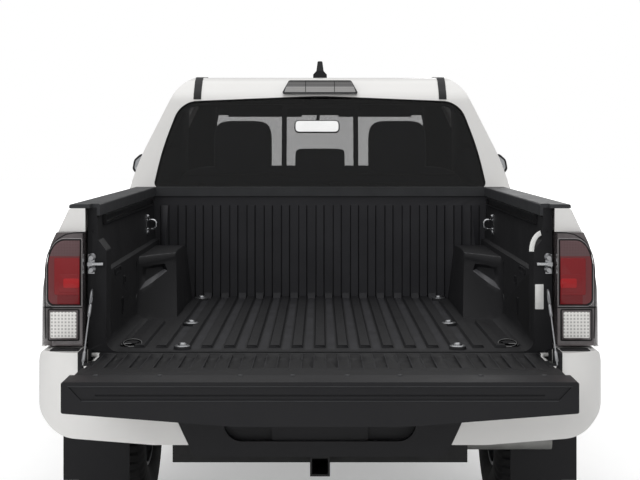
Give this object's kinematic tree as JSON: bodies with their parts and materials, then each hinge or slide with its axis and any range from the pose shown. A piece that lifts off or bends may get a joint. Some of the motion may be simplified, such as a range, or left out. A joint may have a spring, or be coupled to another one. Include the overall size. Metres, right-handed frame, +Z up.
{
  "type": "pickup truck",
  "caption": "Double-cab pickup truck with a composite load bed, open tailgate, opening doors and hood, steering front wheels and free-turning wheels.",
  "frame": {"origin": "on the ground under the middle of the truck's box, measured with the tailgate open", "axes": "+Y forward, +X to the truck's right, +Z up"},
  "size_m": [2.2, 5.791, 1.848],
  "materials": {
    "alloy": "satin",
    "bed_composite": "textured",
    "black_plastic": "satin",
    "bright_metal": "polished",
    "cast_iron": "matte",
    "deck_rail_aluminium": "satin",
    "exhaust_steel": "satin",
    "frame_steel": "satin",
    "lamp_clear": "gloss",
    "lamp_red": "gloss",
    "mirror_shell": "gloss",
    "seat_cloth": "woven",
    "tank_plastic": "matte",
    "tinted_glass": "gloss",
    "tyre_rubber": "matte",
    "white_paint": "gloss"
  },
  "bodies": {
    "chassis": {"bed_hardware": "bright_metal", "bed_outer": "white_paint", "bed_rail_caps": "black_plastic", "bed_tub": "bed_composite", "cab_shell": "white_paint", "cabin_mirror": "black_plastic", "chassis_frame": "frame_steel", "control_arms": "frame_steel", "dashboard": "black_plastic", "deck_rails": "deck_rail_aluminium", "drive_shaft": "frame_steel", "engine_block": "cast_iron", "exhaust": "exhaust_steel", "front_bumper": "black_plastic", "front_fenders": "white_paint", "fuel_tank": "tank_plastic", "grille": "black_plastic", "headlamps": "lamp_clear", "high_brake_lamp": "lamp_clear", "hitch_receiver": "frame_steel", "leaf_springs": "frame_steel", "rear_axle": "frame_steel", "rear_bumper": "white_paint", "rear_seat": "seat_cloth", "rear_step": "black_plastic", "rear_window": "tinted_glass", "reversing_lamps": "lamp_clear", "roof_aerial": "black_plastic", "roof_mouldings": "black_plastic", "seat_left": "seat_cloth", "seat_right": "seat_cloth", "spare_wheel": "tyre_rubber", "tail_lamps": "lamp_red", "tailgate_cables": "bright_metal", "wheel_liners": "black_plastic", "windshield": "tinted_glass"},
    "door_front_left": {"door_front_left": "white_paint", "glass_front_left": "tinted_glass", "mirror_left": "mirror_shell"},
    "door_front_right": {"door_front_right": "white_paint", "glass_front_right": "tinted_glass", "mirror_right": "mirror_shell"},
    "door_rear_left": {"door_rear_left": "white_paint", "glass_rear_left": "tinted_glass"},
    "door_rear_right": {"door_rear_right": "white_paint", "glass_rear_right": "tinted_glass"},
    "hood": {"hood": "white_paint"},
    "tailgate": {"tailgate": "white_paint", "tailgate_spoiler": "black_plastic"},
    "knuckle_left": {"knuckle_left": "frame_steel"},
    "knuckle_right": {"knuckle_right": "frame_steel"},
    "wheel_front_left": {"tyre_front_left": "tyre_rubber", "rim_front_left": "alloy"},
    "wheel_front_right": {"tyre_front_right": "tyre_rubber", "rim_front_right": "alloy"},
    "wheel_rear_left": {"tyre_rear_left": "tyre_rubber", "rim_rear_left": "alloy"},
    "wheel_rear_right": {"tyre_rear_right": "tyre_rubber", "rim_rear_right": "alloy"},
    "steering_wheel": {"steering_wheel": "black_plastic"}
  },
  "joints": [
    {"name": "door_front_left_hinge", "type": "hinge", "parent": "chassis", "child": "door_front_left", "pos_m": [-0.907, 1.397, 0.9], "axis": [0, 0, -1], "range_deg": [0, 68]},
    {"name": "door_front_right_hinge", "type": "hinge", "parent": "chassis", "child": "door_front_right", "pos_m": [0.907, 1.397, 0.9], "axis": [0, 0, 1], "range_deg": [0, 68]},
    {"name": "door_rear_left_hinge", "type": "hinge", "parent": "chassis", "child": "door_rear_left", "pos_m": [-0.907, 0.347, 0.9], "axis": [0, 0, -1], "range_deg": [0, 68]},
    {"name": "door_rear_right_hinge", "type": "hinge", "parent": "chassis", "child": "door_rear_right", "pos_m": [0.907, 0.347, 0.9], "axis": [0, 0, 1], "range_deg": [0, 68]},
    {"name": "hood_hinge", "type": "hinge", "parent": "chassis", "child": "hood", "pos_m": [0, 1.5305, 1.212], "axis": [1, 0, 0], "range_deg": [0, 52]},
    {"name": "tailgate_hinge", "type": "hinge", "parent": "chassis", "child": "tailgate", "pos_m": [0, -2.3455, 0.782], "axis": [-1, 0, 0], "range_deg": [0, 90], "deforming": ["tailgate_cables"]},
    {"name": "steer_left", "type": "hinge", "parent": "chassis", "child": "knuckle_left", "pos_m": [-0.76, 1.9705, 0.388], "axis": [0, 0, 1], "range_deg": [-34, 34]},
    {"name": "steer_right", "type": "hinge", "parent": "chassis", "child": "knuckle_right", "pos_m": [0.76, 1.9705, 0.388], "axis": [0, 0, 1], "range_deg": [-34, 34]},
    {"name": "spin_front_left", "type": "hinge", "parent": "knuckle_left", "child": "wheel_front_left", "pos_m": [-0.8, 1.9705, 0.388], "axis": [1, 0, 0], "continuous": true},
    {"name": "spin_front_right", "type": "hinge", "parent": "knuckle_right", "child": "wheel_front_right", "pos_m": [0.8, 1.9705, 0.388], "axis": [1, 0, 0], "continuous": true},
    {"name": "spin_rear_left", "type": "hinge", "parent": "chassis", "child": "wheel_rear_left", "pos_m": [-0.8025, -1.2655, 0.388], "axis": [1, 0, 0], "continuous": true},
    {"name": "spin_rear_right", "type": "hinge", "parent": "chassis", "child": "wheel_rear_right", "pos_m": [0.8025, -1.2655, 0.388], "axis": [1, 0, 0], "continuous": true},
    {"name": "steering_wheel_turn", "type": "hinge", "parent": "chassis", "child": "steering_wheel", "pos_m": [-0.38, 0.93, 1.09], "axis": [0, 0.8988, -0.4384], "range_deg": [-480, 480]}
  ],
  "couplings": [
    {"joint": "steer_right", "follows": "steer_left", "ratio": 1},
    {"joint": "steering_wheel_turn", "follows": "steer_left", "ratio": -14}
  ]
}
